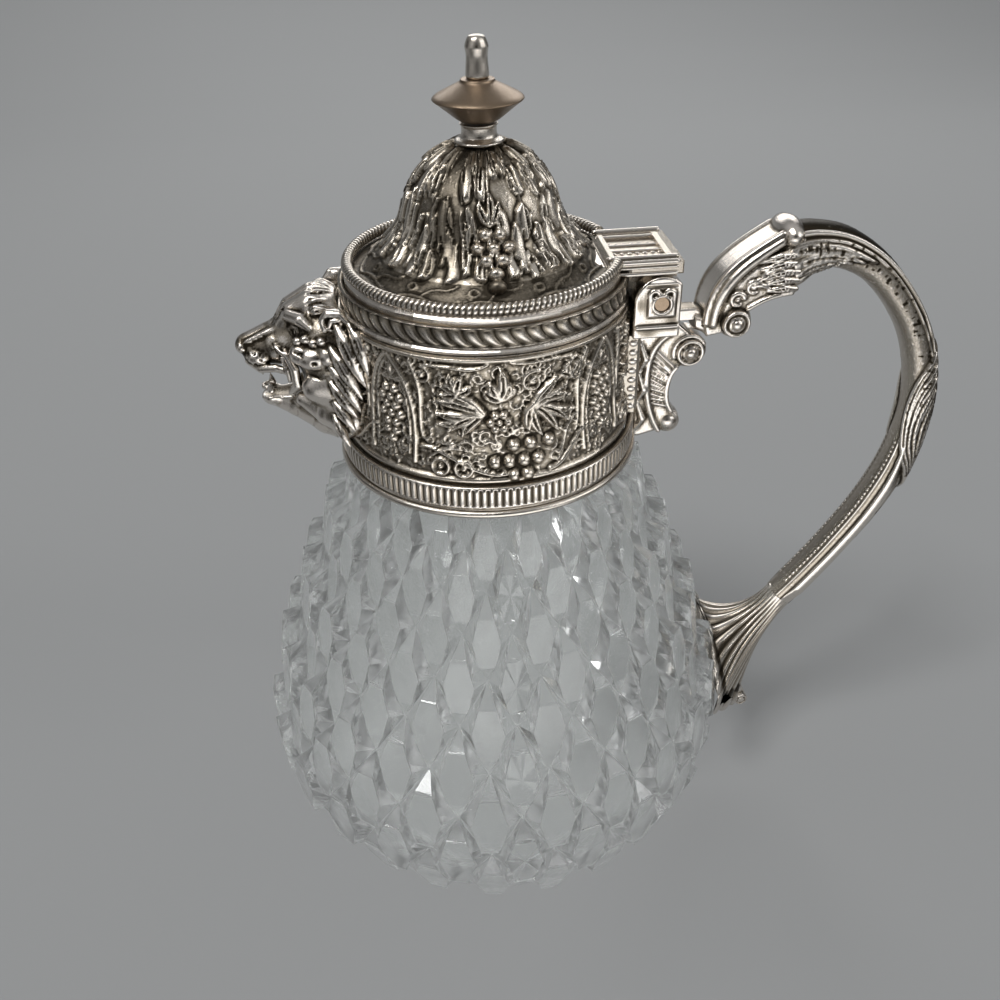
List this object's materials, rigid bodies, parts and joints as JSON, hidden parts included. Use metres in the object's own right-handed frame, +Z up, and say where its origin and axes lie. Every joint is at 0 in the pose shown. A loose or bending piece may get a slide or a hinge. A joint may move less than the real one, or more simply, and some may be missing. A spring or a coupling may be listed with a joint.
{
  "type": "syrup pitcher",
  "caption": "Glass syrup pitcher with a diamond-cut body, silver-plated collar, lion-mask spout, scrolled handle and a hinged domed lid with a finial.",
  "frame": {"origin": "centre of the glass foot, on the table", "axes": "+Z up through the finial, +X towards the handle and away from the lion's mouth, +Y across the hinge pin"},
  "size_m": [0.1338, 0.0956, 0.1576],
  "materials": {
    "clear_glass": "polished",
    "plaster": "matte",
    "silver": "polished and worn",
    "aged_silver": "oxidised in the relief",
    "worn_brass": "worn and dull"
  },
  "bodies": {
    "pitcher": {"glass_body": "clear_glass", "neck_packing": "plaster", "collar_shell": "aged_silver", "collar_reeded_band": "silver", "collar_foot_wire": "silver", "lion_spout": "silver", "collar_strap": "silver", "scroll_bracket": "silver", "hinge_fork": "silver", "hinge_pin": "worn_brass", "handle_scroll": "silver", "handle_bow": "silver", "handle_leaf": "silver"},
    "lid": {"lid_plate": "silver", "lid_gadroon_border": "silver", "lid_rope_border": "silver", "lid_skirt": "silver", "lid_dome": "aged_silver", "lid_hinge_arm": "silver", "finial_neck": "silver", "finial_saucer": "worn_brass", "finial_spindle": "silver", "finial_nut": "worn_brass"}
  },
  "joints": [
    {"name": "lid_hinge", "type": "hinge", "parent": "pitcher", "child": "lid", "pos_m": [0.0289, 0, 0.1165], "axis": [0, 1, 0], "range_deg": [0, 90]}
  ]
}
